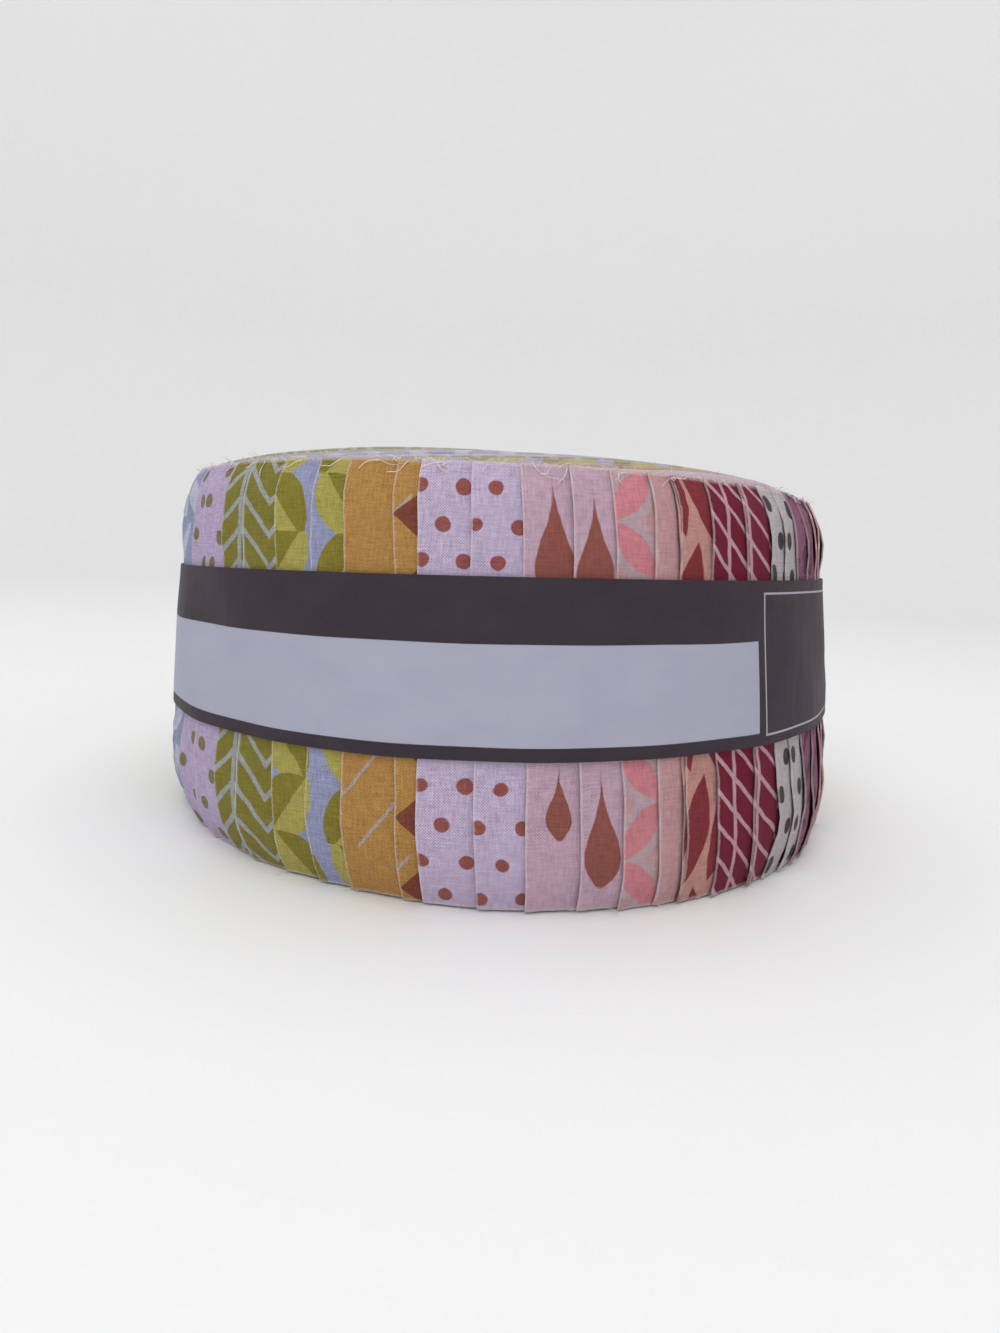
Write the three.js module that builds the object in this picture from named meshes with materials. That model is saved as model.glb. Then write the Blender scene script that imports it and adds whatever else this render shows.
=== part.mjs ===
// A jelly roll: 40 strips of quilting cotton, 2 1/2 in wide and 44 in long, each folded
// double and rolled up together from the folds, with a paper band round the middle.
// Millimetres, +Z up, the roll standing on the cut edges of its strips. Angles round the
// roll are in degrees from the front (-Y), counted to the right (+X).

import * as THREE from 'three';

// The roll
const ROLL_HEIGHT = 64.0;         // from the floor to the highest cut edges
const ROLL_RADIUS = 65.2;         // half-way up the side
const SIDE_TAPER = 2.0;           // the foot is this much wider than the top
const SIDE_LEAN = 1.87;           // the top has slipped this far to the left
const SIDE_TWIST = 2.0;           // degrees that the strips' edges turn from foot to top
const RIM_DROP = 1.4;             // the outermost strips end this far below the crown
const RIM_WIDTH = 3.0;            // from the outermost cut edge in to the crown
const FOOT_BEND = { radius: 20.7, turn: 0.64 };       // the strips bow in above the floor
const SHOULDER_BEND = { radius: 13.5, turn: 0.716 };  // and under the top, turn in radians
const BEND_STEPS = 3;             // straight bits up each bend
const CORE_RADIUS = 4.5;          // the hollow that the folds leave in the middle
const CORE_DEPTH = 6.0;
const CORE_NARROWING = 0.9;       // from the mouth of the hollow down

// The strips
const STRIP_COUNT = 40;
const LEAVES = 2;                 // each strip is folded double and shows both its ends
const END_STEP = 0.7;             // an end stands this far out over the next one
const STEP_TURN = 0.3;            // degrees on each side of a step
const TURN_PITCH = 24.0;          // all the folded strips on each other, once round

// The swirl of the turns on the top
const SWIRL_STARTS = 2;
const SWIRL_RELIEF = 1.0;
const RING_SPACING = 2.8;
const RING_POINT_SPACING = 2.4;   // a ring with closer points gets half as many

// The paper band
const BAND_LOW = 21.5;            // its lower edge at the front
const BAND_HIGH = 46.5;           // its upper edge at the front
const BAND_THICKNESS = 1.0;
const BAND_GAP = 0.35;            // between the band and the strips
const BAND_STEPS = 94;            // straight bits along the band
const BAND_LEVELS = 3;            // straight bits up the band
const LAP_TURN = 8.0;             // each end reaches this many degrees past the back
const LAP_EASE = 20.0;            // the upper end climbs onto the lower one in this
const LAP_CLEAR = 1.0;            // and is up this far before it

// The strip ends that show at the front, by their upper, left-hand edges half-way up.
const FRONT_ENDS = [
  { cloth: 'lilac, small olive dots', edge: -56.0 },
  { cloth: 'lilac, small olive dots', edge: -49.5 },
  { cloth: 'olive, grey branches', edge: -42.6 },
  { cloth: 'olive, grey branches', edge: -37.8 },
  { cloth: 'yellow olive petals', edge: -31.0 },
  { cloth: 'blue lilac, olive petals', edge: -25.0 },
  { cloth: 'mustard', edge: -20.0 },
  { cloth: 'mustard, brown corners', edge: -13.0 },
  { cloth: 'lilac, rust dots', edge: -10.1 },
  { cloth: 'lilac, rust dots', edge: -3.4 },
  { cloth: 'pink lilac, brown drops', edge: 2.8 },
  { cloth: 'pink lilac, brown drops', edge: 9.2 },
  { cloth: 'salmon petals', edge: 14.6 },
  { cloth: 'salmon petals', edge: 19.7 },
  { cloth: 'peach, red petals', edge: 23.6 },
  { cloth: 'burgundy, pale branches', edge: 28.8 },
  { cloth: 'burgundy, pale branches', edge: 35.8 },
  { cloth: 'white, black dots', edge: 40.9 },
  { cloth: 'white, black dots', edge: 45.1 },
  { cloth: 'mauve', edge: 49.3 },
  { cloth: 'mauve', edge: 54.0 },
];
const HIDDEN_ENDS = 1;            // the second peach end lies short, under the first
const FRONT_END = 60.0;           // where the strips that the front doesn't show begin

const radians = THREE.MathUtils.degToRad;

// How high the foot's bend reaches, and where the shoulder's bend begins.
const footBendTop = FOOT_BEND.radius * Math.sin(FOOT_BEND.turn);
const shoulderStart = ROLL_HEIGHT - SHOULDER_BEND.radius * Math.sin(SHOULDER_BEND.turn);
const rimHeight = ROLL_HEIGHT - RIM_DROP;

// The radius of the side at a height: straight, with a soft bend at the foot and the top.
function sideRadius(z) {
  const below = Math.max(footBendTop - z, 0);
  const above = Math.max(z - shoulderStart, 0);
  const footInset = FOOT_BEND.radius - Math.sqrt(FOOT_BEND.radius ** 2 - below ** 2);
  const topInset = SHOULDER_BEND.radius - Math.sqrt(SHOULDER_BEND.radius ** 2 - above ** 2);
  const taper = SIDE_TAPER * (0.5 - z / ROLL_HEIGHT);
  return ROLL_RADIUS + taper - footInset - topInset;
}

// A point at an angle, radius and height, on the leaning roll.
function rollPoint(angle, radius, z) {
  const lean = -SIDE_LEAN * z / ROLL_HEIGHT;
  return new THREE.Vector3(
    radius * Math.sin(radians(angle)) + lean,
    -radius * Math.cos(radians(angle)),
    z,
  );
}

// The angles of all the strip ends' upper edges, going round to the right.
function endEdges() {
  const edges = FRONT_ENDS.map((end) => end.edge);
  const others = STRIP_COUNT * LEAVES - HIDDEN_ENDS - edges.length;
  const span = 360 + edges[0] - FRONT_END;
  for (let i = 0; i < others; i += 1) {
    edges.push(FRONT_END + span * i / others);
  }
  return edges;
}

// Pairs of angles and offsets from the side: each end starts proud and dives under the next.
function steppedOutline() {
  return endEdges().flatMap((edge) => [
    { angle: edge - STEP_TURN, offset: -END_STEP / 2 },
    { angle: edge + STEP_TURN, offset: END_STEP / 2 },
  ]);
}

// The height of the top at a radius and angle: the swirl, fading out at the rim and core.
function crownHeight(radius, angle) {
  const phase = SWIRL_STARTS * (2 * Math.PI * radius / TURN_PITCH + radians(angle));
  const rim = sideRadius(ROLL_HEIGHT) - RIM_WIDTH;
  const fade = THREE.MathUtils.smoothstep(rim - radius, 0, TURN_PITCH / SWIRL_STARTS);
  return ROLL_HEIGHT - fade * SWIRL_RELIEF * (0.5 - 0.5 * Math.cos(phase));
}

// Triangles between two closed rings, where the second has as many points or half as many.
function stitchRings(triangles, outer, inner) {
  const ratio = outer.length / inner.length;
  for (let i = 0; i < inner.length; i += 1) {
    const next = (i + 1) % inner.length;
    const middle = outer[i * ratio + ratio - 1];
    if (ratio === 2) {
      triangles.push([outer[i * ratio], middle, inner[i]]);
    }
    const last = outer[(i * ratio + ratio) % outer.length];
    triangles.push([middle, last, inner[i]]);
    triangles.push([inner[i], last, inner[next]]);
  }
}

function solidGeometry(points, triangles) {
  const geometry = new THREE.BufferGeometry();
  geometry.setAttribute('position', new THREE.Float32BufferAttribute(
    points.flatMap((point) => [point.x, point.y, point.z]),
    3,
  ));
  geometry.setIndex(triangles.flat());
  geometry.computeVertexNormals();
  return geometry;
}

// The wound roll as one solid, ring by ring from the floor up the side and in over the top.
function stripRollGeometry() {
  const points = [];
  const triangles = [];
  const addRing = (ring) => ring.map((point) => points.push(point) - 1);

  const outline = steppedOutline();
  const heights = [];
  for (let i = 0; i <= BEND_STEPS; i += 1) {
    const turn = FOOT_BEND.turn * (1 - i / BEND_STEPS);
    heights.push(footBendTop - FOOT_BEND.radius * Math.sin(turn));
  }
  for (let i = 0; i <= BEND_STEPS; i += 1) {
    heights.push(shoulderStart + (rimHeight - shoulderStart) * i / BEND_STEPS);
  }
  const twistAt = (z) => SIDE_TWIST * (0.5 - z / ROLL_HEIGHT);
  const sideRings = heights.map((z) => addRing(outline.map((step) => (
    rollPoint(step.angle + twistAt(z), sideRadius(z) + step.offset, z)
  ))));
  for (let i = 0; i + 1 < sideRings.length; i += 1) {
    stitchRings(triangles, sideRings[i], sideRings[i + 1]);
  }

  // The flat foot, on the lower cut edges
  const foot = sideRings[0];
  const footCentre = points.push(new THREE.Vector3(0, 0, 0)) - 1;
  foot.forEach((corner, i) => {
    triangles.push([footCentre, foot[(i + 1) % foot.length], corner]);
  });

  // The upper cut edges, thinned out to fewer points as the rings get smaller
  const crownRadius = sideRadius(rimHeight) - RIM_WIDTH;
  let above = sideRings[sideRings.length - 1];
  let angles = outline.map((step) => step.angle);
  for (let radius = crownRadius; radius > CORE_RADIUS; radius -= RING_SPACING) {
    const crowded = 2 * Math.PI * radius / angles.length < RING_POINT_SPACING;
    if (crowded && angles.length % 2 === 0) {
      angles = angles.filter((angle, i) => i % 2 === 0);
    }
    const ring = addRing(angles.map((angle) => (
      rollPoint(angle + twistAt(ROLL_HEIGHT), radius, crownHeight(radius, angle))
    )));
    stitchRings(triangles, above, ring);
    above = ring;
  }

  // The hollow core
  const core = addRing(angles.map((angle) => (
    rollPoint(angle, CORE_RADIUS * CORE_NARROWING, ROLL_HEIGHT - CORE_DEPTH)
  )));
  stitchRings(triangles, above, core);
  const coreFloor = points.push(rollPoint(0, 0, ROLL_HEIGHT - CORE_DEPTH)) - 1;
  core.forEach((corner, i) => {
    triangles.push([corner, core[(i + 1) % core.length], coreFloor]);
  });
  return solidGeometry(points, triangles);
}

// The paper band: one strip bent round the roll, square to its lean, ends lapped at the back.
function paperBandGeometry() {
  const points = [];
  const triangles = [];
  const tilt = SIDE_LEAN / ROLL_HEIGHT;
  const fullTurn = 360 + 2 * LAP_TURN;
  const climb = BAND_THICKNESS + BAND_GAP;
  const sections = [];
  for (let i = 0; i <= BAND_STEPS; i += 1) {
    const angle = -180 - LAP_TURN + fullTurn * i / BAND_STEPS;
    const lapStart = 180 - LAP_TURN - LAP_CLEAR;
    const lift = climb * THREE.MathUtils.smoothstep(angle, lapStart - LAP_EASE, lapStart);
    const rise = tilt * ROLL_RADIUS * Math.sin(radians(angle));
    const outside = [];
    const inside = [];
    for (let level = 0; level <= BAND_LEVELS; level += 1) {
      const z = BAND_LOW + (BAND_HIGH - BAND_LOW) * level / BAND_LEVELS + rise;
      const radius = sideRadius(z) + END_STEP / 2 + BAND_GAP + lift;
      inside.push(points.push(rollPoint(angle, radius, z)) - 1);
      outside.push(points.push(rollPoint(angle, radius + BAND_THICKNESS, z)) - 1);
    }
    sections.push([...outside, ...inside.reverse()]);
  }
  for (let i = 0; i < BAND_STEPS; i += 1) {
    stitchRings(triangles, sections[i + 1], sections[i]);
  }
  const [first, last] = [sections[0], sections[BAND_STEPS]];
  for (let k = 0; k < BAND_LEVELS; k += 1) {
    const across = 2 * BAND_LEVELS + 1 - k;
    triangles.push([first[k], first[k + 1], first[across]]);
    triangles.push([first[k + 1], first[across - 1], first[across]]);
    triangles.push([last[k], last[across], last[k + 1]]);
    triangles.push([last[k + 1], last[across], last[across - 1]]);
  }
  return solidGeometry(points, triangles);
}

const cotton = new THREE.MeshStandardMaterial({
  color: 0xc59ab0, roughness: 0.9, metalness: 0, side: THREE.FrontSide,
});
const printedPaper = new THREE.MeshStandardMaterial({
  color: 0x3a3038, roughness: 0.55, metalness: 0, side: THREE.FrontSide,
});

const stripRoll = new THREE.Mesh(stripRollGeometry(), cotton);
stripRoll.name = 'strip_roll';
const paperBand = new THREE.Mesh(paperBandGeometry(), printedPaper);
paperBand.name = 'paper_band';

// The origin is on the floor, under the middle of the roll's box.
const group = new THREE.Group();
group.add(stripRoll, paperBand);
const middle = new THREE.Box3().setFromObject(group).getCenter(new THREE.Vector3());
group.position.set(-middle.x, -middle.y, 0);
group.updateMatrixWorld(true);

export default group;
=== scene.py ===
"""A jelly roll: 40 quilting strips, folded double and rolled up, with a paper band."""

import math
import random

import bpy
import numpy as np
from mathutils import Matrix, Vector


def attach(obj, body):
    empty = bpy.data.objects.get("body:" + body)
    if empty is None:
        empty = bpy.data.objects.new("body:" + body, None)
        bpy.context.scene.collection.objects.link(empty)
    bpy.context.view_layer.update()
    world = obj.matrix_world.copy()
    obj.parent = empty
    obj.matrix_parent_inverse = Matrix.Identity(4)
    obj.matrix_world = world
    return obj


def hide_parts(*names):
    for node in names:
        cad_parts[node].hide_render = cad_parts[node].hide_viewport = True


# The model that is dressed The CAD model holds the roll and the band as two plain
# solids in their true size.

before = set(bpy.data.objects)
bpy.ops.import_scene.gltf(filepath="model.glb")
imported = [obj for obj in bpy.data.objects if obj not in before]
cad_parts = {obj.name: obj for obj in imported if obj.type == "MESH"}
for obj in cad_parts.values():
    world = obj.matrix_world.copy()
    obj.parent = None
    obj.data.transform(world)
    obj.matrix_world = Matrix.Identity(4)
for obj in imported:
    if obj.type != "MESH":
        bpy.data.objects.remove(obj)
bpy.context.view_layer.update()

# The fabric strips
# Forty strips of printed quilting cotton, 2 1/2 in wide and 44 in long, are cut straight
# across the cloth and folded double. They are laid on each other like steps and rolled
# up from the folds, so their cut ends show in pairs round the side of the roll.

# The rolled form, in millimetres. Angles are in degrees from the front.
MM = 0.001
ROLL_CENTRE = (0.688, -0.675)
ROLL_HEIGHT = 64.0
ROLL_RADIUS = 65.2      # half-way up
SIDE_TAPER = 2.0        # the side draws in by this much from the floor to the top
SIDE_LEAN = 1.87        # and the top has slipped this far to the left
SIDE_TWIST = 2.0        # a cut end turns by this angle on its way up
FOOT_BEND = 20.7        # radius of the bend at the foot, and the height where it ends
FOOT_BEND_TOP = 12.36
FOOT_FULLNESS = 0.3     # the foot is drawn in by this share less on the right in front,
FULL_START = (-25, 10)  # from these angles
FULL_END = (80, 120)    # to these
SHOULDER_BEND = 13.5    # radius of the bend at the shoulder, and where it starts
SHOULDER_START = 55.14
BENT_DEPTH = 36.0       # both bends fade out this far into the roll
BENT_FADE = 1.2


def smooth(value, start, end):
    """A soft step from 0 at start to 1 at end."""
    t = np.clip((value - start) / (end - start), 0, 1)
    return t * t * (3 - 2 * t)


def side_inset(angle, z):
    """How far the outermost turn is drawn in at a height; the foot is fuller in front."""
    below = np.clip(FOOT_BEND_TOP - z, 0, None)
    above = np.clip(z - SHOULDER_START, 0, None)
    foot = FOOT_BEND - np.sqrt(FOOT_BEND ** 2 - below ** 2)
    shoulder = SHOULDER_BEND - np.sqrt(SHOULDER_BEND ** 2 - above ** 2)
    turned = (angle + 180) % 360 - 180
    full = FOOT_FULLNESS * smooth(turned, *FULL_START) * (1 - smooth(turned, *FULL_END))
    return foot * (1 - full) + shoulder


def roll_point(angle, radius, z):
    """Points at angles (degrees from the front), radii and heights on the leaning roll."""
    turn = np.radians(angle)
    x = radius * np.sin(turn) - SIDE_LEAN * z / ROLL_HEIGHT + ROLL_CENTRE[0]
    y = -radius * np.cos(turn) + ROLL_CENTRE[1]
    return np.stack([x, y, z + 0 * turn], axis=-1) * MM


def waves(seed, count, longest, shortest):
    """A smooth, uneven curve about 1 high: a sum of sines of different lengths."""
    rng = random.Random(seed)
    lengths = [longest * (shortest / longest) ** (i / max(count - 1, 1)) for i in range(count)]
    parts = [(2 * math.pi / length, rng.uniform(0, 6.283)) for length in lengths]
    return lambda t: sum(np.sin(k * t + phase) for k, phase in parts) / count ** 0.5


# The cloth is a plain weave, printed with inks that soak in and leave the grain of the
# threads to be seen. Each has a ground and one or two inks in dots, branches, leaves,
# drops, corners, slanting lines or patches, and every strip is cut from one of them.


class Number:
    """A number worked out in a shader, so that a print is written as a plain sum."""

    def __init__(self, tree, socket):
        self.tree = tree
        self.socket = socket

    def math(self, operation, *others):
        node = self.tree.nodes.new("ShaderNodeMath")
        node.operation = operation
        for slot, value in zip(node.inputs, (self, *others)):
            if isinstance(value, Number):
                self.tree.links.new(value.socket, slot)
            else:
                slot.default_value = value
        return Number(self.tree, node.outputs[0])

    def __add__(self, other):
        return self.math("ADD", other)

    def __sub__(self, other):
        return self.math("SUBTRACT", other)

    def __mul__(self, other):
        return self.math("MULTIPLY", other)

    def __truediv__(self, other):
        return self.math("DIVIDE", other)

    def floor(self):
        return self.math("FLOOR")

    def part(self):
        return self.math("FRACT")

    def size(self):
        return self.math("ABSOLUTE")

    def least(self, other):
        return self.math("MINIMUM", other)

    def most(self, other):
        return self.math("MAXIMUM", other)

    def inside(self, edge, softness=0.12):
        """1 where the number is below edge and 0 above it."""
        node = self.tree.nodes.new("ShaderNodeMapRange")
        node.interpolation_type = "SMOOTHSTEP"
        self.tree.links.new(self.socket, node.inputs["Value"])
        node.inputs["From Min"].default_value = edge - softness
        node.inputs["From Max"].default_value = edge + softness
        node.inputs["To Min"].default_value = 1.0
        node.inputs["To Max"].default_value = 0.0
        return Number(self.tree, node.outputs["Result"])


def place_on(tree, name):
    """The two coordinates of a UV map, in millimetres."""
    uv = tree.nodes.new("ShaderNodeUVMap")
    uv.uv_map = name
    split = tree.nodes.new("ShaderNodeSeparateXYZ")
    tree.links.new(uv.outputs["UV"], split.inputs["Vector"])
    across = Number(tree, split.outputs["X"]) * 1000.0
    up = Number(tree, split.outputs["Y"]) * 1000.0
    return across, up


def noise(tree, x, y, scale_x, scale_y, detail=2.0, shift=0.0):
    """Noise with grains of scale_x by scale_y millimetres, from 0 to 1."""
    join = tree.nodes.new("ShaderNodeCombineXYZ")
    tree.links.new((x / scale_x).socket, join.inputs["X"])
    tree.links.new((y / scale_y).socket, join.inputs["Y"])
    join.inputs["Z"].default_value = shift
    node = tree.nodes.new("ShaderNodeTexNoise")
    node.inputs["Scale"].default_value = 1.0
    node.inputs["Detail"].default_value = detail
    tree.links.new(join.outputs["Vector"], node.inputs["Vector"])
    return Number(tree, node.outputs["Fac"])


def chance(tree, column, row, shift):
    """A random number from 0 to 1 for each cell of a print."""
    join = tree.nodes.new("ShaderNodeCombineXYZ")
    tree.links.new(column.socket, join.inputs["X"])
    tree.links.new(row.socket, join.inputs["Y"])
    join.inputs["Z"].default_value = shift
    node = tree.nodes.new("ShaderNodeTexWhiteNoise")
    tree.links.new(join.outputs["Vector"], node.inputs["Vector"])
    return Number(tree, node.outputs["Value"])


def cell(x, y, wide, high, brick=0.5):
    """Place within the cells of a repeat, from their middles, and the cell's numbers.
    Each row is moved on by the part brick of a cell."""
    row = (y / high).floor()
    column = (x / wide + row * brick).floor()
    from_middle = x - (column + 0.5 - row * brick) * wide
    from_row = y - (row + 0.5) * high
    return from_middle, from_row, column, row


def dots(tree, x, y, wide, high, radius, stray):
    """Dots in a brick repeat, set a little unevenly."""
    dx, dy, column, row = cell(x, y, wide, high)
    dx = dx + (chance(tree, column, row, 1.0) - 0.5) * stray
    dy = dy + (chance(tree, column, row, 2.0) - 0.5) * stray
    round_size = chance(tree, column, row, 3.0) * 0.25 + 0.88
    distance = (dx * dx + dy * dy).math("SQRT") / round_size
    return distance.inside(radius)


def branches(tree, x, y, wide, high, line, lean):
    """Upright stems with slanting twigs on both sides, as drawn with a pen."""
    dx = x - ((x / wide).floor() + 0.5) * wide
    stem = dx.size().inside(line / 2)
    slanted = y + dx.size() * lean + dx * (1.0 - lean)
    step = (slanted / high).part() - 0.5
    twig = (step * high).size().inside(line / 2 * 1.35)
    return stem.most(twig)


def leaf_shape(tree, x, y, wide, high, length, width, slant, brick):
    """Pointed leaves that lean left and right by turns, and the distance from their veins."""
    dx, dy, column, row = cell(x, y, wide, high, brick)
    side = (row * 0.5).part() * 4.0 - 1.0
    cosine, sine = math.cos(math.radians(slant)), math.sin(math.radians(slant))
    along = dy * cosine + dx * side * sine
    across = dx * side * cosine - dy * sine
    rise = along / (length / 2)
    half = (rise * rise * -1.0 + 1.0) * (width / 2)
    return (across.size() - half).inside(0.0), across


def leaves(tree, x, y, wide, high, length, width, slant, brick):
    """Pointed leaves or petals in one ink."""
    return leaf_shape(tree, x, y, wide, high, length, width, slant, brick)[0]


def half_leaves(tree, x, y, wide, high, length, width, slant, brick):
    """The darker half of the same leaves, up to their middle vein."""
    leaf, across = leaf_shape(tree, x, y, wide, high, length, width, slant, brick)
    return leaf * across.inside(0.0)


def drops(tree, x, y, wide, high, length, width):
    """Drops with a round foot and a long neck in a brick repeat, large and small, none in line."""
    dx, dy, column, row = cell(x, y, wide, high)
    grown = chance(tree, column, row, 5.0) * 0.55 + 0.7
    room = grown * -length + high
    dy = dy + (chance(tree, column, row, 6.0) - 0.5) * room
    dx, dy = dx / grown, dy / grown
    height = (dy / length + 0.5).most(0.0).least(1.0)
    belly = (height * 3.2).math("SINE").most(0.0)
    neck = height * -1.0 + 1.0
    half = belly * neck * neck * (width * 0.98) + neck * 0.35
    ends = (dy.size() / (length / 2)).inside(1.0, 0.04)
    return (dx.size() - half).inside(0.0) * ends


def corners(tree, x, y, wide, high, length, width):
    """Pointed corners that come in from the right-hand side of each repeat."""
    dx = x - (x / wide).floor() * wide
    step = ((y / high).part() - 0.5).size() * high
    point = step - (dx - (wide - length)) * (width / length / 2)
    return point.inside(0.0) * (dx * -1.0).inside(-(wide - length))


def slants(tree, x, y, wide, high, line, slope):
    """Thin slanting lines, broken off here and there."""
    slanted = (x + y * slope) / wide
    fine = (slanted.part() - 0.5).size() * wide
    gap = noise(tree, x, y, high, high * 1.3, 0.0, 4.0)
    return fine.inside(line / 2) * (gap * -1.0).inside(-0.5, 0.01)


def patches(tree, x, y, wide, high, share, shift):
    """Patches with a torn outline."""
    return (noise(tree, x, y, wide, high, 1.0, shift) * -1.0).inside(-share, 0.015)


def from_screen(red, green, blue):
    """The shader's colour for a colour as seen on a screen, from 0 to 255."""
    return tuple(((c / 255 + 0.055) / 1.055) ** 2.4 for c in (red, green, blue)) + (1.0,)


def mix_colours(tree, share, first, second):
    """first where share is 0 and second where it is 1; each is a colour or a socket."""
    node = tree.nodes.new("ShaderNodeMix")
    node.data_type = "RGBA"
    tree.links.new(share.socket, node.inputs["Factor"])
    for slot, colour in ((node.inputs[6], first), (node.inputs[7], second)):
        if isinstance(colour, tuple):
            slot.default_value = colour
        else:
            tree.links.new(colour, slot)
    return node.outputs[2]


THREAD = 0.40           # from one thread of the weave to the next
SLUB_LENGTH = 2.2       # of the thicker bits in a thread
SLUB_WIDTH = THREAD * 0.7
WEAVE_SHADE = 0.31      # how much the weave, its slubs and wear change the colour
SLUB_SHADE = 0.42
WEAR_SHADE = 0.2
PRINT_GRAIN = 2.6       # the outlines of the print waver, this long and this far
PRINT_WOBBLE = 0.5
INK_COVER = 0.94        # the ground shows through the inks a little
SIDE_FRAY_AND_HIGHLIGHT = (0.38, 0.3)      # width and softness of the pale side edges, frayed and with a painted highlight
END_FRAY_AND_HIGHLIGHT = (0.2, 0.16)       # and of the cut ends
SIDE_PALENESS_AND_HIGHLIGHT = 0.36    # how far both take the colour of the unprinted thread, which also paints a highlight on them
END_PALENESS_AND_HIGHLIGHT = 0.38
# the colour of the bare thread, also used for the painted highlight on the cut edges
RAW_COTTON_AND_HIGHLIGHT = (218, 210, 208)

# Each cloth: its ground, then its motifs, each with its ink and its sizes
CLOTHS = {
    "lilac_olive_dots": [
        (174, 157, 187),
        (dots, (113, 105, 62), dict(wide=7.0, high=4.9, radius=1.2, stray=1.6)),
    ],
    "olive_branches": [
        (121, 113, 45),
        (branches, (151, 155, 157), dict(wide=12.0, high=5.0, line=0.85, lean=1.0)),
    ],
    "olive_petals": [
        (141, 145, 176),
        (leaves, (162, 153, 68), dict(
            wide=11.5, high=9.0, length=14.5, width=8.6, slant=36.0, brick=0.04,
        )),
        (half_leaves, (123, 113, 41), dict(
            wide=11.5, high=9.0, length=14.5, width=8.6, slant=36.0, brick=0.04,
        )),
    ],
    "mustard_corners": [
        (168, 126, 70),
        (slants, (166, 151, 151), dict(wide=8.0, high=9.0, line=0.55, slope=-0.8)),
        (corners, (115, 58, 49), dict(wide=22.0, high=10.6, length=3.6, width=6.6)),
    ],
    "lilac_rust_dots": [
        (183, 167, 193),
        (dots, (136, 69, 58), dict(wide=5.95, high=5.23, radius=1.08, stray=0.3)),
    ],
    "pink_drops": [
        (183, 154, 171),
        (drops, (132, 71, 58), dict(wide=11.0, high=20.0, length=15.0, width=5.6)),
    ],
    "salmon_petals": [
        (183, 141, 144),
        (leaves, (174, 153, 160), dict(
            wide=10.5, high=8.0, length=13.0, width=6.6, slant=24.0, brick=0.0,
        )),
        (leaves, (195, 121, 130), dict(
            wide=10.5, high=8.0, length=10.5, width=4.2, slant=40.0, brick=0.0,
        )),
    ],
    "peach_petals": [
        (181, 134, 126),
        (leaves, (117, 28, 41), dict(
            wide=5.6, high=17.2, length=17.2, width=4.8, slant=14.0, brick=0.5,
        )),
    ],
    "burgundy_branches": [
        (106, 14, 44),
        (branches, (184, 146, 158), dict(wide=9.5, high=5.2, line=0.7, lean=0.0)),
    ],
    "white_plum_dots": [
        (174, 166, 170),
        (dots, (42, 24, 36), dict(wide=6.0, high=5.8, radius=1.5, stray=1.2)),
    ],
    "mauve_patches": [
        (126, 73, 100),
        (patches, (83, 39, 60), dict(wide=4.0, high=3.4, share=0.55, shift=2.0)),
    ],
    "sage_dots": [
        (134, 140, 130),
        (dots, (195, 189, 183), dict(wide=5.2, high=4.6, radius=0.8, stray=0.2)),
    ],
    "blue_lilac_petals": [
        (136, 143, 176),
        (leaves, (179, 178, 195), dict(
            wide=7.0, high=8.0, length=8.5, width=3.6, slant=35.0, brick=0.5,
        )),
    ],
    "rose_branches": [
        (176, 109, 123),
        (branches, (210, 179, 183), dict(wide=10.0, high=5.6, line=0.8, lean=1.0)),
    ],
    "plum_dots": [
        (83, 45, 68),
        (dots, (174, 141, 162), dict(wide=5.6, high=5.0, radius=0.95, stray=0.3)),
    ],
    "ochre_drops": [
        (179, 149, 87),
        (drops, (124, 87, 43), dict(wide=9.0, high=15.0, length=11.0, width=4.4)),
    ],
    "grey_lilac_slants": [
        (153, 143, 159),
        (slants, (105, 94, 113), dict(wide=4.2, high=9.0, line=0.6, slope=0.9)),
    ],
    "russet_patches": [
        (141, 83, 64),
        (patches, (107, 52, 45), dict(wide=4.0, high=6.0, share=0.54, shift=6.0)),
    ],
}


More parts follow.
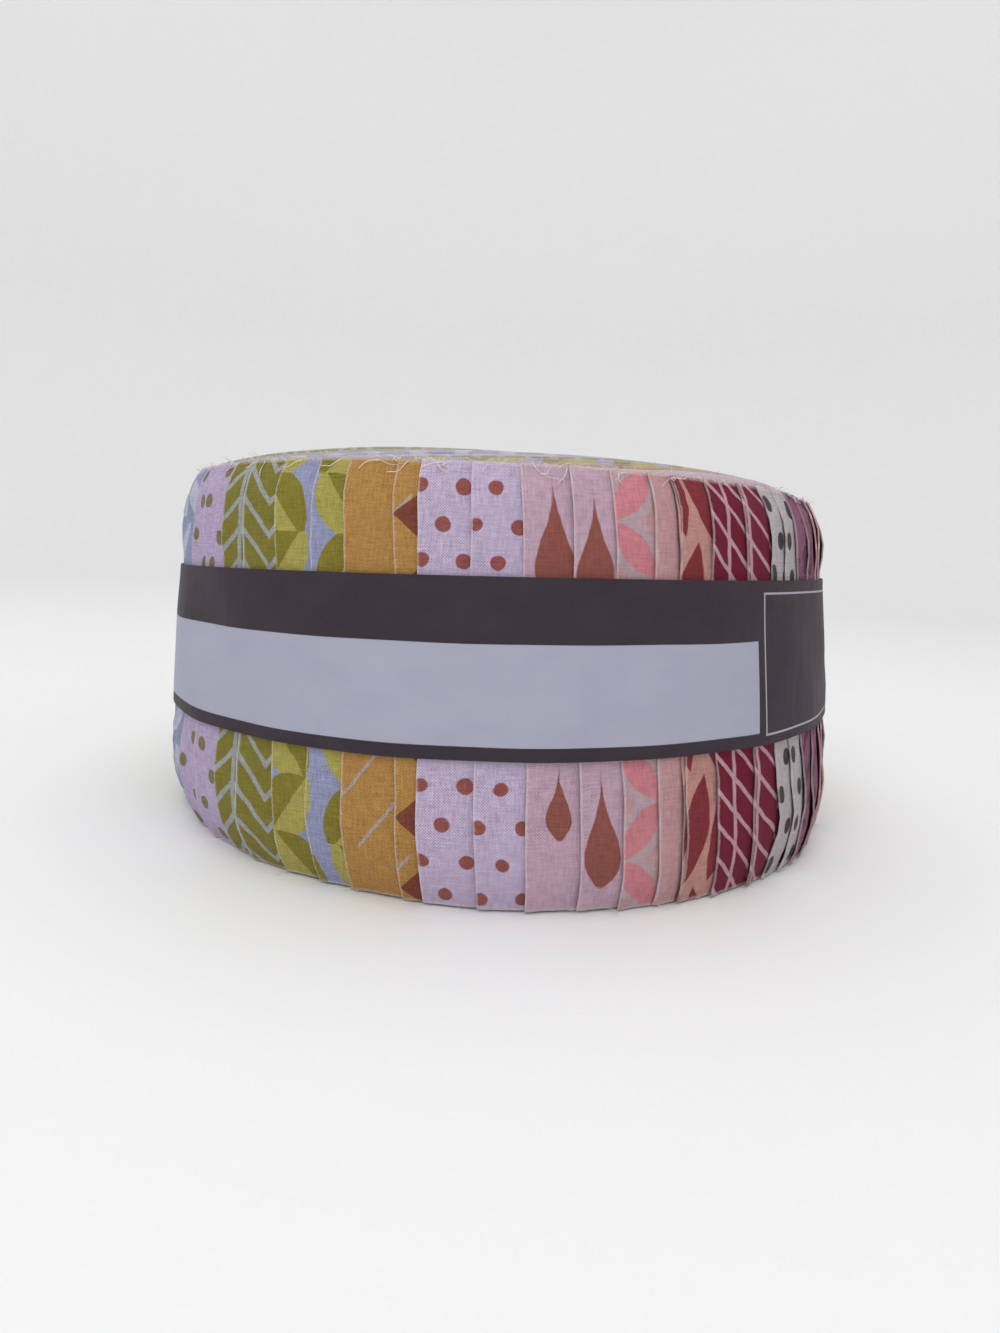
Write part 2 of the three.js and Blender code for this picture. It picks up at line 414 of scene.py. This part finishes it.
def cotton(name, cloth):
    """The material of one printed cloth."""
    material = bpy.data.materials.new(name)
    material.use_nodes = True
    tree = material.node_tree
    shader = tree.nodes["Principled BSDF"]
    u, v = place_on(tree, "print")
    x = u + (noise(tree, u, v, PRINT_GRAIN, PRINT_GRAIN, 1.0, 7.0) - 0.5) * PRINT_WOBBLE
    y = v + (noise(tree, u, v, PRINT_GRAIN, PRINT_GRAIN, 1.0, 9.0) - 0.5) * PRINT_WOBBLE
    ground, *motifs = cloth
    colour = from_screen(*ground)
    for motif, ink, sizes in motifs:
        share = motif(tree, x, y, **sizes)
        colour = mix_colours(tree, share * INK_COVER, colour, from_screen(*ink))
    # Uneven threads, lighter and darker, both ways of the weave
    slubs = noise(tree, u, v, SLUB_LENGTH, SLUB_WIDTH, 0.0, 1.0)
    slubs = slubs + noise(tree, u, v, SLUB_WIDTH, SLUB_LENGTH, 0.0, 2.0)
    wear = noise(tree, u, v, 14.0, 9.0, 3.0, 3.0)
    wave = 2 * math.pi / THREAD
    weave = (u * wave).math("SINE") * (v * wave).math("SINE")
    shade = weave * WEAVE_SHADE + (slubs - 1.0) * SLUB_SHADE + (wear - 0.5) * WEAR_SHADE + 1.0
    scale = tree.nodes.new("ShaderNodeVectorMath")
    scale.operation = "SCALE"
    if isinstance(colour, tuple):
        scale.inputs[0].default_value = colour[:3]
    else:
        tree.links.new(colour, scale.inputs[0])
    tree.links.new(shade.socket, scale.inputs["Scale"])
    # The cut edges show the unprinted middle of the threads, and the same paler colour is a
    # painted highlight where the edges catch the light
    from_end, from_side = place_on(tree, "cut")
    ragged = (noise(tree, u, v, 0.5, 0.5, 2.0, 5.0) - 0.5) * 0.5
    # The pale edges are partly bare thread and partly a painted highlight
    raw_and_highlight = (from_side + ragged).inside(*SIDE_FRAY_AND_HIGHLIGHT) * SIDE_PALENESS_AND_HIGHLIGHT
    raw_and_highlight = raw_and_highlight.most((from_end + ragged).inside(*END_FRAY_AND_HIGHLIGHT) * END_PALENESS_AND_HIGHLIGHT)
    colour = mix_colours(tree, raw_and_highlight, scale.outputs["Vector"], from_screen(*RAW_COTTON_AND_HIGHLIGHT))
    tree.links.new(colour, shader.inputs["Base Color"])
    shader.inputs["Roughness"].default_value = 0.86
    shader.inputs["Specular IOR Level"].default_value = 0.15
    shader.inputs["Sheen Weight"].default_value = 0.05
    shader.inputs["Sheen Roughness"].default_value = 0.5
    height = weave * 0.7 + slubs
    bump = tree.nodes.new("ShaderNodeBump")
    bump.inputs["Strength"].default_value = 0.35
    bump.inputs["Distance"].default_value = 0.0002
    tree.links.new(height.socket, bump.inputs["Height"])
    tree.links.new(bump.outputs["Normal"], shader.inputs["Normal"])
    return material


# Each strip is one sheet: from its upper cut end round the roll to the core, round its
# fold and back to its lower cut end. The half of a strip on either side of the fold is
# called a leaf, and the leaves are numbered in the order of their ends.
STRIP_WIDTH = 63.5
CLOTH_THICKNESS = 0.25
LAYER_PITCH = 0.297     # the rolled layers are pressed on each other
OUTER_FOOT = 0.35       # the outermost turn stands between these two heights
OUTER_TOP = 62.45
INNER_TOP = 64.3        # the turns inside stand higher and make a swirl this deep
SWIRL_DIP = 0.8
CROWN_TILT = 0.4        # they are higher still by this at one angle, and lower opposite
CROWN_ANGLE = 30
RISE_DEPTH = (0.4, 3.6)         # the tops rise between these depths from the outside
ASKEW = 0.3             # each leaf stands up to this much higher, lower or askew
END_LIFT = 0.5          # a cut end stands up this much more, over this angle
END_LIFT_WIDTH = 2.6
PILLOW = 0.12           # a strip's soft crown from its end to the next one's
PRESSED_LOW = (18.5, 20.5)      # the band presses both flat between these heights
PRESSED_HIGH = (47.5, 49.5)
FOLD_STEPS = 4
FOLD_RADIUS = 4.9       # of the core that the folds leave
FINE_STEP = 0.42        # angle between the columns where a strip shows,
OUTER_STEP = 4.5        # round the rest of the first turn
INNER_STEP = 6.5        # and in the turns inside
ROWS = 24
COARSE_ROWS = [0, 1, 3, 6, 12, 18, 21, 23, 24]

# The strips that the front shows: each end's left-hand edge half-way up, in degrees,
# and how far its print is moved, across and up, in millimetres
FRONT_STRIPS = [
    ("lilac_olive_dots", (-56.0, 2.0), (-49.5, 5.0), 0.0),
    ("olive_branches", (-42.6, 2.0), (-37.8, 6.0), 0.0),
    ("olive_petals", (-31.0, 2.2), (-25.0, 9.2), 2.0),
    ("mustard_corners", (-20.0, 2.0), (-13.0, 18.4), 3.0),
    ("lilac_rust_dots", (-10.1, 5.52), (-3.4, 2.35), 0.62),
    ("pink_drops", (2.8, 1.0), (9.2, 13.3), 37.0),
    ("salmon_petals", (14.6, 2.4), (19.7, 8.4), 0.0),
    ("peach_petals", (23.2, 1.0), (23.6, 4.0), 14.8),
    ("burgundy_branches", (28.8, 1.0), (35.8, 4.0), 0.0),
    ("white_plum_dots", (40.9, 2.0), (45.1, 5.0), 0.0),
    ("mauve_patches", (49.3, 1.0), (54.0, 4.0), 0.0),
]
OTHER_STRIPS_START = 60.0
OTHER_STRIPS = [
    "rose_branches", "plum_dots", "peach_petals", "russet_patches", "ochre_drops",
    "mustard_corners", "blue_lilac_petals", "grey_lilac_slants", "lilac_olive_dots",
    "white_plum_dots", "burgundy_branches", "salmon_petals", "mauve_patches", "plum_dots",
    "rose_branches", "pink_drops", "lilac_rust_dots", "russet_patches", "peach_petals",
    "ochre_drops", "mustard_corners", "grey_lilac_slants", "olive_petals", "ochre_drops",
    "olive_branches", "sage_dots", "olive_branches", "sage_dots", "blue_lilac_petals",
]

strips = []
for cloth, first, second, up in FRONT_STRIPS:
    edges, across = zip(first, second)
    strips.append({"cloth": cloth, "edges": edges, "across": across, "up": up})
pitch = (360 + FRONT_STRIPS[0][1][0] - OTHER_STRIPS_START) / len(OTHER_STRIPS)
dice = random.Random(11)
for i, cloth in enumerate(OTHER_STRIPS):
    edge = OTHER_STRIPS_START + pitch * i
    across = (dice.uniform(0, 20), dice.uniform(0, 20))
    up = dice.uniform(0, 12)
    strips.append({"cloth": cloth, "edges": (edge, edge + pitch / 2), "across": across, "up": up})

end_angles = np.array([edge for strip in strips for edge in strip["edges"]])
LEAVES = len(end_angles)


def layers_over(angle):
    """How many ends lie before an angle, in whole and part layers, all turns counted."""
    turns = np.floor((angle - end_angles[0]) / 360)
    within = angle - 360 * turns
    steps = np.append(end_angles, end_angles[0] + 360)
    return LEAVES * turns + np.interp(within, steps, np.arange(LEAVES + 1))


def leaf_radius(angle, leaf):
    """The radius of a leaf's middle half-way up the roll."""
    return ROLL_RADIUS - LAYER_PITCH * (layers_over(angle) - leaf)


def fold_angle(first_leaf):
    """Where a strip's two leaves have wound in to the core and meet in the fold."""
    angles = np.arange(end_angles[first_leaf] + 700, end_angles[first_leaf] + 1100, 0.5)
    return angles[np.argmax(leaf_radius(angles, first_leaf) <= FOLD_RADIUS)]


SWELL_HEIGHT = 0.16
swell_round = waves(50, 3, 55.0, 17.0)
swell_up = waves(60, 3, 40.0, 12.0)
swell_slanting = waves(51, 3, 55.0, 17.0)


def side_swell(angle, z):
    """The uneven swell of the rolled cloth, the same for all the layers at a place."""
    return SWELL_HEIGHT * (swell_round(angle) * swell_up(z) + swell_slanting(angle + z * 0.6))


def leaf_angles(first_angle, last_angle, shown_until):
    """Angles of a leaf's columns, and how many of them stand close where it shows."""
    fine = max(int(round((shown_until - first_angle) / FINE_STEP)), 4)
    angles = list(np.linspace(first_angle, shown_until, fine + 1))
    outer_end = min(first_angle + 366, last_angle)
    outer = max(int(round((outer_end - shown_until) / OUTER_STEP)), 1)
    angles += list(np.linspace(shown_until, outer_end, outer + 1))[1:]
    inner = max(int(round((last_angle - outer_end) / INNER_STEP)), 1)
    angles += list(np.linspace(outer_end, last_angle, inner + 1))[1:]
    return np.array(angles), fine


def leaf_faces(angles, leaf, rows, seed, shown_until):
    """The outside and inside of a leaf: two grids of points, columns by rows."""
    rng = random.Random(seed)
    sway = waves(seed + 1, 3, 60.0, 16.0)
    bow = waves(seed + 2, 3, 40.0, 9.0)
    own_height = rng.uniform(-ASKEW, ASKEW)
    tilt = rng.uniform(-ASKEW, ASKEW)
    end = end_angles[leaf]
    v = rows[None, :] / STRIP_WIDTH
    a = angles[:, None]
    rho = leaf_radius(a, leaf)

    # Height: the outermost turn has slipped down, and the ones inside make the swirl
    inner = smooth(ROLL_RADIUS - rho, *RISE_DEPTH)
    wander = 0.12 * np.sin(np.radians(a) * 3 + seed)
    wander = wander + CROWN_TILT * np.cos(np.radians(a - CROWN_ANGLE))
    dip = SWIRL_DIP * (0.5 - 0.5 * math.cos(4 * math.pi * leaf / LEAVES))
    inner_top = INNER_TOP - dip + own_height * 0.8 + wander
    inner_foot = np.maximum(inner_top - STRIP_WIDTH, 0.08)
    top = (OUTER_TOP + own_height * 0.5) * (1 - inner) + inner_top * inner
    foot = (OUTER_FOOT + own_height * 0.4) * (1 - inner) + inner_foot * inner
    z = foot + (top - foot) * v

    # Sideways: a cut end isn't quite straight, and is most bent on the right in front
    sway_size = 0.1 + 0.45 * smooth(end, 15, 45) - 0.3 * smooth(end, 60, 100)
    near_end = 1 - smooth(a - end, 0, shown_until - end)
    shift = near_end * (sway_size * sway(z) + tilt * (v - 0.5))
    at = a + SIDE_TWIST * (0.5 - z / ROLL_HEIGHT) + shift

    # Outwards: a cut end stands up, a little less at the rim and hardly under the band
    level = z - SIDE_LEAN / ROLL_HEIGHT * ROLL_RADIUS * np.sin(np.radians(a))
    pressed = smooth(level, *PRESSED_LOW) * (1 - smooth(level, *PRESSED_HIGH))
    lift = END_LIFT * (1 - smooth(a - end, 0, END_LIFT_WIDTH)) * (1 - 0.45 * smooth(z, 52, 62))
    crown = np.clip((a - end) / (shown_until - end), 0, 1)
    lift = (lift * (0.8 + 0.35 * bow(z)) + PILLOW * 4 * crown * (1 - crown)) * (1 - 0.8 * pressed)
    weight = np.clip(1 - (ROLL_RADIUS - rho) / BENT_DEPTH, 0, None) ** BENT_FADE
    middle = rho + SIDE_TAPER * (0.5 - z / ROLL_HEIGHT) * rho / ROLL_RADIUS
    middle = middle + (side_swell(a, z) - side_inset(a, z)) * weight + lift
    half = CLOTH_THICKNESS / 2
    return roll_point(at, middle + half, z), roll_point(at, middle - half, z)


def leaf_columns(leaf, across, turn_back, rows):
    """A leaf's columns from its cut end to the core. Each holds its outside and inside
    points, its distance from the end, whether it shows, and how far the print is moved."""
    following = end_angles[leaf + 1] if leaf + 1 < LEAVES else end_angles[0] + 360
    shown_until = max(following, end_angles[leaf] + 2.0) + 1.6
    angles, fine = leaf_angles(end_angles[leaf], turn_back, shown_until)
    outside, inside = leaf_faces(angles, leaf, rows, 100 + leaf * 7, shown_until)
    middle = (outside + inside) / 2
    steps = np.linalg.norm(np.diff(middle[:, ROWS // 2], axis=0), axis=1)
    distance = np.concatenate([[0], np.cumsum(steps)]) / MM
    return [(outside[k], inside[k], distance[k], k <= fine, across) for k in range(len(angles))]


def fold_columns(upper, lower):
    """The columns of the fold, in which the upper leaf turns back round the core."""
    centre_high = (upper[-1][0] + upper[-1][1]) / 2
    centre_low = (lower[-1][0] + lower[-1][1]) / 2
    forward = centre_high - (upper[-2][0] + upper[-2][1]) / 2
    forward /= np.linalg.norm(forward, axis=1)[:, None]
    middle = (centre_high + centre_low) / 2
    arm = (centre_high - centre_low) / 2
    gap = np.linalg.norm(arm, axis=1)[:, None]
    half = CLOTH_THICKNESS / 2 * MM
    columns = []
    for k in range(1, FOLD_STEPS):
        turn = math.pi * k / FOLD_STEPS
        aim = arm / gap * math.cos(turn) + forward * math.sin(turn)
        outside = middle + aim * (gap + half)
        inside = middle + aim * np.maximum(gap - half, gap * 0.1)
        columns.append((outside, inside, upper[-1][2] + k * 0.1, False, upper[-1][4]))
    return columns


def strip_object(index, strip):
    """One folded strip as a closed sheet, with the place on its print at every corner."""
    rows = np.linspace(0, STRIP_WIDTH, ROWS + 1)
    turn_back = fold_angle(2 * index)
    lower = leaf_columns(2 * index, strip["across"][0], turn_back, rows)
    upper = leaf_columns(2 * index + 1, strip["across"][1], turn_back, rows)
    back = [(inside, outside, *rest) for outside, inside, *rest in reversed(lower)]
    columns = upper + fold_columns(upper, lower) + back

    vertices = []
    places = []         # the print's place at each vertex
    numbers = []        # the vertex numbers of each column, for both sides
    for side_a, side_b, distance, is_fine, across in columns:
        kept = range(ROWS + 1) if is_fine else COARSE_ROWS
        column = {}
        for side, points in (("a", side_a), ("b", side_b)):
            column[side] = {}
            for row in kept:
                column[side][row] = len(vertices)
                vertices.append(tuple(points[row]))
                places.append((distance, rows[row], across))
        numbers.append(column)

    faces = []
    for k in range(len(numbers) - 1):
        here, there = numbers[k], numbers[k + 1]
        for side in ("a", "b"):
            left, right = here[side], there[side]
            shared = [row for row in left if row in right]
            for r0, r1 in zip(shared, shared[1:]):
                up_left = [left[row] for row in left if r0 <= row <= r1]
                up_right = [right[row] for row in right if r0 <= row <= r1]
                face = up_right + up_left[::-1]
                faces.append(face if side == "a" else face[::-1])
        for row, flip in ((0, False), (ROWS, True)):
            face = [here["a"][row], there["a"][row], there["b"][row], here["b"][row]]
            faces.append(face[::-1] if flip else face)
    for column, flip in ((numbers[0], False), (numbers[-1], True)):
        kept = list(column["a"])
        for r0, r1 in zip(kept, kept[1:]):
            face = [column["a"][r0], column["b"][r0], column["b"][r1], column["a"][r1]]
            faces.append(face if flip else face[::-1])

    name = f"strip_{index + 1:02d}"
    mesh = bpy.data.meshes.new(name)
    mesh.from_pydata(vertices, [], faces)
    mesh.update()
    prints = mesh.uv_layers.new(name="print")
    cuts = mesh.uv_layers.new(name="cut")
    for loop in mesh.loops:
        distance, across_strip, across = places[loop.vertex_index]
        prints.data[loop.index].uv = ((distance + across) * MM, (across_strip + strip["up"]) * MM)
        from_side = min(across_strip, STRIP_WIDTH - across_strip)
        cuts.data[loop.index].uv = (distance * MM, from_side * MM)
    for face in mesh.polygons:
        face.use_smooth = True
    strip_piece = bpy.data.objects.new(name, mesh)
    bpy.context.scene.collection.objects.link(strip_piece)
    return strip_piece


materials = {name: cotton(name, cloth) for name, cloth in CLOTHS.items()}
for index, strip in enumerate(strips):
    piece = strip_object(index, strip)
    piece.data.materials.append(materials[strip["cloth"]])
    piece.data.set_sharp_from_angle(angle=math.radians(50))
    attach(piece, "root")
    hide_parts("strip_roll")

# The loose threads
# Where the blade has cut the weave, short ends of cotton thread stand out of the strips'
# edges, most of them along the rim, and some longer ones lie curled on the side below it.
# They are one mesh of fine bent hairs.

SHORT_THREADS = 1500
LYING_THREADS = 90
THREAD_RADIUS = 0.06
FRAYED_DEPTH = 14.0     # the short ones stand up to this far in, fewer and fewer
RIM_SHARE = 0.92        # of them, the others being at the foot
RIM_HEIGHT = 62.2       # of the outermost turn, and how much higher the others stand
INNER_RISE = 1.6


def short_thread(rng):
    """The middle line of a bent hair on a cut edge of the outer turns, top or foot."""
    angle = rng.uniform(0, 360)
    depth = rng.uniform(0, 1) ** 3 * FRAYED_DEPTH
    at_top = rng.random() < RIM_SHARE
    bent = max(1 - depth / BENT_DEPTH, 0) ** BENT_FADE
    height = RIM_HEIGHT + INNER_RISE * smooth(depth, *RISE_DEPTH) if at_top else 0.5
    taper = SIDE_TAPER * (0.5 - height / ROLL_HEIGHT)
    radius = ROLL_RADIUS - depth - side_inset(angle, height) * bent + taper
    length = rng.uniform(0.5, 1.7)
    lean_out, lean_side = rng.uniform(-0.5, 0.9), rng.uniform(-0.9, 0.9)
    curl_out, curl_side = rng.uniform(-0.8, 0.8), rng.uniform(-0.8, 0.8)
    t = np.linspace(0, 1, 5)
    out = radius + length * (lean_out * t + curl_out * t * t)
    turn = angle + np.degrees(length * (lean_side * t + curl_side * t * t) / ROLL_RADIUS)
    if at_top:
        return roll_point(turn, out, height - 0.3 + length * t * (1 - 0.35 * t))
    return roll_point(turn, out + length * t, height + 0 * t)


def lying_thread(rng):
    """The middle line of a longer thread that lies curled on the side, under the rim."""
    angle = rng.uniform(0, 360)
    t = np.linspace(0, 1, 11)
    length = rng.uniform(1.5, 4.5)
    slant, bend = rng.uniform(-1, 1), rng.uniform(-1, 1)
    curl, phase = rng.uniform(0.2, 0.6), rng.uniform(0, 6.283)
    z = 62.1 - length * (0.45 * t * (1 - abs(slant)) + 0.2 * t * t)
    z = z + curl * t * np.sin(phase + 6 * t)
    turn = angle + np.degrees(length * (slant * t + bend * t * t) / ROLL_RADIUS)
    turn = turn + np.degrees(curl * t * np.cos(phase + 6 * t) / ROLL_RADIUS)
    side = ROLL_RADIUS + SIDE_TAPER * (0.5 - z / ROLL_HEIGHT) - side_inset(turn, z)
    return roll_point(turn, side + side_swell(turn, z) + 0.4, z)


def loose_threads():
    """All the threads as one mesh of thin three-sided tubes with closed ends."""
    rng = random.Random(23)
    lines = [short_thread(rng) for i in range(SHORT_THREADS)]
    lines += [lying_thread(rng) for i in range(LYING_THREADS)]
    vertices, faces = [], []
    for line in lines:
        first = len(vertices)
        along = np.gradient(line, axis=0)
        along /= np.linalg.norm(along, axis=1)[:, None]
        side = np.cross(along, (0.3, 0.2, 0.93))
        side /= np.linalg.norm(side, axis=1)[:, None]
        other = np.cross(along, side)
        thin = THREAD_RADIUS * MM * np.linspace(1.1, 0.7, len(line))[:, None]
        for k in range(len(line)):
            for corner in range(3):
                way = 2 * math.pi * corner / 3
                arm = side[k] * math.cos(way) + other[k] * math.sin(way)
                vertices.append(tuple(line[k] + arm * thin[k]))
        for k in range(len(line) - 1):
            for corner in range(3):
                a0, a1 = first + 3 * k + corner, first + 3 * k + (corner + 1) % 3
                faces.append((a0, a1, a1 + 3, a0 + 3))
        faces.append((first + 2, first + 1, first))
        end = first + 3 * (len(line) - 1)
        faces.append((end, end + 1, end + 2))
    mesh = bpy.data.meshes.new("loose_threads")
    mesh.from_pydata(vertices, [], faces)
    mesh.update()
    piece = bpy.data.objects.new("loose_threads", mesh)
    bpy.context.scene.collection.objects.link(piece)
    return piece


def bare_cotton():
    """Undyed cotton thread, a little uneven in colour."""
    material = bpy.data.materials.new("bare_cotton")
    material.use_nodes = True
    tree = material.node_tree
    shader = tree.nodes["Principled BSDF"]
    place = tree.nodes.new("ShaderNodeTexCoord")
    grain = tree.nodes.new("ShaderNodeTexNoise")
    grain.inputs["Scale"].default_value = 900.0
    tree.links.new(place.outputs["Object"], grain.inputs["Vector"])
    share = Number(tree, grain.outputs["Fac"])
    colour = mix_colours(tree, share, from_screen(212, 200, 196), from_screen(236, 230, 224))
    tree.links.new(colour, shader.inputs["Base Color"])
    shader.inputs["Roughness"].default_value = 0.9
    return material


threads = loose_threads()
threads.data.materials.append(bare_cotton())
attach(threads, "root")

# The paper band
# One strip of smooth printed card goes round the middle of the roll and keeps it shut.
# It is dark, with a pale panel and a thin pale frame, and its ends are glued over each
# other at the back.

BAND_LOW = 21.5
BAND_HIGH = 46.5
CARD_THICKNESS = 0.32
CARD_GAP = 0.5          # from the strips' middle surface to the card
LAP_TURN = 8.0          # each end reaches this angle past the middle of the back,
LAP_EASE = 20.0         # and the upper one eases out over this angle before it
LAP_LIFT = CARD_THICKNESS + 0.12
BAND_STEP = 1.2
BAND_ROWS = 10
PANEL = (-118.0, 41.4, 1.9, 15.8)       # left, right, bottom and top, mm from the front
FRAME = (43.2, 122.0, 1.5, 23.0)
FRAME_LINE = 0.3


def past_box(x, y, box):
    """How far a place lies outside a box (left, right, bottom, top), below 0 inside it."""
    left, right, bottom, top = box
    middle_x, middle_y = (left + right) / 2, (bottom + top) / 2
    across = (x - middle_x).size() - (right - left) / 2
    up = (y - middle_y).size() - (top - bottom) / 2
    return across.most(up)


def printed_card():
    """Smooth dark card with the bare panel and the thin frame."""
    material = bpy.data.materials.new("printed_card")
    material.use_nodes = True
    tree = material.node_tree
    shader = tree.nodes["Principled BSDF"]
    x, y = place_on(tree, "print")
    mottle = noise(tree, x, y, 9.0, 5.0, 3.0, 1.0)
    dark = mix_colours(tree, mottle, from_screen(49, 40, 48), from_screen(64, 55, 63))
    pale = mix_colours(tree, mottle, from_screen(158, 158, 179), from_screen(169, 171, 184))
    panel = past_box(x, y, PANEL).inside(0.0, 0.06)
    colour = mix_colours(tree, panel, dark, pale)
    line = past_box(x, y, FRAME).size().inside(FRAME_LINE / 2, 0.05)
    colour = mix_colours(tree, line * 0.8, colour, from_screen(190, 184, 192))
    tree.links.new(colour, shader.inputs["Base Color"])
    shader.inputs["Roughness"].default_value = 0.55
    shader.inputs["Specular IOR Level"].default_value = 0.13
    fibres = noise(tree, x, y, 0.6, 0.6, 3.0, 5.0) * 0.15 + noise(tree, x, y, 2.5, 16.0, 1.0, 6.0)
    bump = tree.nodes.new("ShaderNodeBump")
    bump.inputs["Strength"].default_value = 0.35
    bump.inputs["Distance"].default_value = 0.0004
    tree.links.new(fibres.socket, bump.inputs["Height"])
    tree.links.new(bump.outputs["Normal"], shader.inputs["Normal"])
    return material


def band_object():
    """The card as a thin closed strip that follows the side of the roll."""
    count = int(round((360 + 2 * LAP_TURN) / BAND_STEP))
    angles = np.linspace(-180 - LAP_TURN, 180 + LAP_TURN, count + 1)
    lap_start = 180 - LAP_TURN - 1
    lift = LAP_LIFT * smooth(angles, lap_start - LAP_EASE, lap_start)
    rise = SIDE_LEAN / ROLL_HEIGHT * ROLL_RADIUS * np.sin(np.radians(angles))
    up = np.linspace(0, 1, BAND_ROWS + 1)
    z = BAND_LOW + (BAND_HIGH - BAND_LOW) * up[None, :] + rise[:, None]
    a = np.repeat(angles[:, None], BAND_ROWS + 1, axis=1)
    radius = ROLL_RADIUS + SIDE_TAPER * (0.5 - z / ROLL_HEIGHT) - side_inset(a, z)
    radius = radius + CARD_GAP + lift[:, None] + side_swell(a, z)
    outside = roll_point(a, radius + CARD_THICKNESS, z)
    inside = roll_point(a, radius, z)
    vertices, places = [], []
    for points in (outside, inside):
        for k in range(count + 1):
            for row in range(BAND_ROWS + 1):
                vertices.append(tuple(points[k, row]))
                x = math.radians(angles[k]) * ROLL_RADIUS
                places.append((x * MM, (BAND_HIGH - BAND_LOW) * up[row] * MM))

    def number(side, k, row):
        return side * (count + 1) * (BAND_ROWS + 1) + k * (BAND_ROWS + 1) + row

    faces = []
    for k in range(count):
        for row in range(BAND_ROWS):
            quad = [(k, row), (k + 1, row), (k + 1, row + 1), (k, row + 1)]
            faces.append([number(0, *corner) for corner in quad])
            faces.append([number(1, *corner) for corner in reversed(quad)])
        for row, flip in ((0, True), (BAND_ROWS, False)):
            face = [number(0, k, row), number(0, k + 1, row)]
            face += [number(1, k + 1, row), number(1, k, row)]
            faces.append(face[::-1] if flip else face)
    for k, flip in ((0, False), (count, True)):
        for row in range(BAND_ROWS):
            face = [number(0, k, row), number(0, k, row + 1)]
            face += [number(1, k, row + 1), number(1, k, row)]
            faces.append(face[::-1] if flip else face)
    mesh = bpy.data.meshes.new("paper_band_card")
    mesh.from_pydata(vertices, [], faces)
    mesh.update()
    prints = mesh.uv_layers.new(name="print")
    for loop in mesh.loops:
        prints.data[loop.index].uv = places[loop.vertex_index]
    for face in mesh.polygons:
        face.use_smooth = True
    piece = bpy.data.objects.new("paper_band_card", mesh)
    bpy.context.scene.collection.objects.link(piece)
    return piece


band = band_object()
band.data.materials.append(printed_card())
band.data.set_sharp_from_angle(angle=math.radians(50))
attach(band, "root")
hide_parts("paper_band")

# The floor and the light
# The roll stands on a plain pale floor that curves up all round it into a pale wall. A
# large soft lamp hangs over it and a smaller one stands above and in front.

FLOOR_RADIUS = 0.9
COVE_BEND = 0.5
COVE_STEPS = 12
WALL_HEIGHT = 1.9
FLOOR_SIDES = 64
FLOOR_COLOUR = (0.88, 0.88, 0.88, 1)

profile = [(0.05, 0.0), (0.3, 0.0), (FLOOR_RADIUS, 0.0)]
for k in range(1, COVE_STEPS + 1):
    turn = math.radians(90 * k / COVE_STEPS)
    radius = FLOOR_RADIUS + COVE_BEND * math.sin(turn)
    profile.append((radius, COVE_BEND - COVE_BEND * math.cos(turn)))
profile.append((FLOOR_RADIUS + COVE_BEND, WALL_HEIGHT))
floor_vertices = [(0.0, 0.0, 0.0)]
floor_faces = []
for radius, height in profile:
    for k in range(FLOOR_SIDES):
        turn = 2 * math.pi * k / FLOOR_SIDES
        floor_vertices.append((radius * math.cos(turn), radius * math.sin(turn), height))
for k in range(FLOOR_SIDES):
    after = (k + 1) % FLOOR_SIDES
    floor_faces.append((0, 1 + k, 1 + after))
    for ring in range(len(profile) - 1):
        inner, outer = 1 + ring * FLOOR_SIDES, 1 + (ring + 1) * FLOOR_SIDES
        floor_faces.append((inner + k, outer + k, outer + after, inner + after))
floor_mesh = bpy.data.meshes.new("floor")
floor_mesh.from_pydata(floor_vertices, [], floor_faces)
for face in floor_mesh.polygons:
    face.use_smooth = True
floor = bpy.data.objects.new("floor", floor_mesh)
bpy.context.scene.collection.objects.link(floor)
floor_paint = bpy.data.materials.new("floor_paint")
floor_paint.use_nodes = True
floor_shader = floor_paint.node_tree.nodes["Principled BSDF"]
floor_shader.inputs["Base Color"].default_value = FLOOR_COLOUR
floor_shader.inputs["Roughness"].default_value = 0.7
floor_mesh.materials.append(floor_paint)

world = bpy.data.worlds.new("studio")
bpy.context.scene.world = world
world.use_nodes = True
sky = world.node_tree.nodes["Background"]
sky.inputs["Color"].default_value = (1.0, 1.0, 1.0, 1)
sky.inputs["Strength"].default_value = 0.28
bpy.context.scene.view_settings.view_transform = "Standard"


def soft_lamp(name, place, aim, size, power):
    """A square area lamp that looks at a point."""
    lamp = bpy.data.lights.new(name, "AREA")
    lamp.size = size
    lamp.energy = power
    holder = bpy.data.objects.new(name, lamp)
    bpy.context.scene.collection.objects.link(holder)
    holder.location = place
    holder.rotation_mode = "QUATERNION"
    holder.rotation_quaternion = (Vector(aim) - Vector(place)).to_track_quat("-Z", "Y")


soft_lamp("lamp_over_all", (0, 0, 1.8), (0, 0.001, 0), 1.8, 14.6)
soft_lamp("lamp_in_front", (-0.15, -0.6, 0.6), (0, 0, 0.03), 0.5, 2.0)

# The camera
# It stands a hand's breadth in front of the roll, three quarters as high as the roll,
# looks level and is turned by three degrees about its line of sight.

camera_data = bpy.data.cameras.new("camera")
camera_data.lens = 20.795
camera_data.shift_y = -0.0816
camera_data.clip_start = 0.01
camera = bpy.data.objects.new("camera", camera_data)
bpy.context.scene.collection.objects.link(camera)
camera.location = (-1.266 * MM, -170.775 * MM, 49.04 * MM)
camera.rotation_euler = (math.pi / 2, -0.05295, 0)
bpy.context.scene.camera = camera
